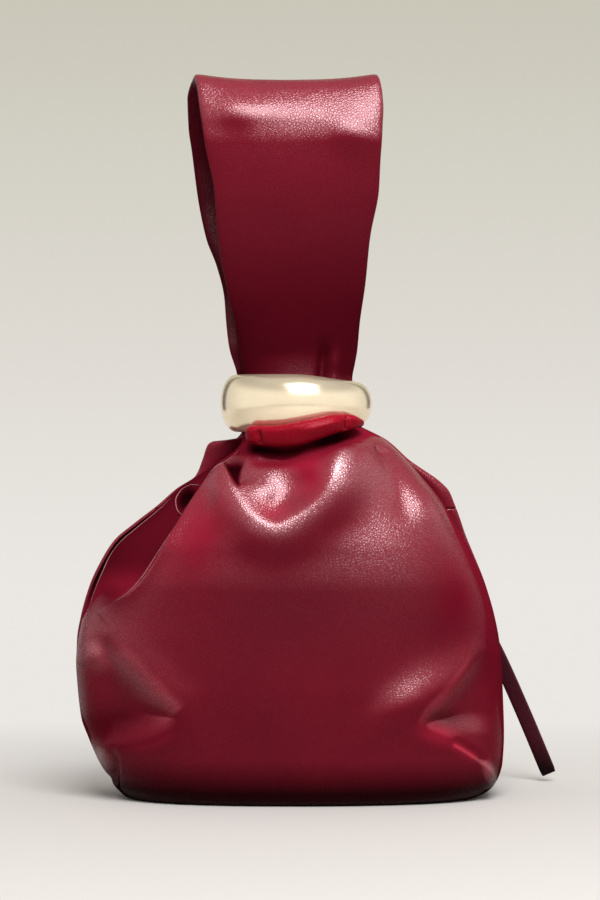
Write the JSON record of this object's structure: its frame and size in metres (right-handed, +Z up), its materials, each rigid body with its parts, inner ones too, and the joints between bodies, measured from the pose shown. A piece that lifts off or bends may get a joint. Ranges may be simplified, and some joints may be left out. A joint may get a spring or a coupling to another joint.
{
  "type": "clutch bag",
  "caption": "Gathered pouch clutch with a padded wrist loop held by a sculpted metal bangle, rear zip with a leather pull, flat base.",
  "frame": {"origin": "middle of the base's underside, on the surface that the bag stands on", "axes": "+X to the right seen from the front, -Y to the front, +Z up"},
  "size_m": [0.2532, 0.1163, 0.3761],
  "materials": {
    "leather": "smooth burgundy faux leather, fine grain, soft sheen",
    "inner_leather": "burgundy faux leather, plainer inner face",
    "lining": "plain woven lining",
    "padding": "soft wadding",
    "board": "bag board",
    "zip_tape": "woven burgundy tape",
    "zip_metal": "polished light gold",
    "ring_metal": "polished champagne gold plating"
  },
  "bodies": {
    "bag": {"front_panel": "leather", "back_panel": "leather", "rear_yoke": "leather", "base_panel": "leather", "base_board": "board", "lining": "lining", "slip_pocket": "lining", "zip_tape_upper": "zip_tape", "zip_tape_lower": "zip_tape", "zip_teeth_upper": "zip_metal", "zip_teeth_lower": "zip_metal", "zip_bottom_stop": "zip_metal", "zip_top_stop_upper": "zip_metal", "zip_top_stop_lower": "zip_metal", "front_leg": "leather", "rear_leg": "leather"},
    "handle": {"handle_outer": "leather", "handle_padding": "padding", "handle_inner": "inner_leather"},
    "ring": {"neck_ring": "ring_metal"},
    "slider": {"zip_slider": "zip_metal"},
    "pull": {"pull_strap": "leather"}
  },
  "joints": [
    {"name": "handle_fold", "type": "hinge", "parent": "bag", "child": "handle", "pos_m": [0, 0, 0.2431], "axis": [1, 0, 0], "range_deg": [-80, 80]},
    {"name": "ring_slide", "type": "slide", "parent": "bag", "child": "ring", "axis": [0, 0, 1], "range_m": [0, 0.012]},
    {"name": "zip_slide", "type": "slide", "parent": "bag", "child": "slider", "axis": [1, 0, 0], "range_m": [-0.106, 0], "deforming": ["zip_teeth_upper", "zip_teeth_lower"]},
    {"name": "pull_swing", "type": "hinge", "parent": "slider", "child": "pull", "pos_m": [0.06352, 0.04247, 0.15101], "axis": [1, 0, 0], "range_deg": [0, 120]}
  ]
}
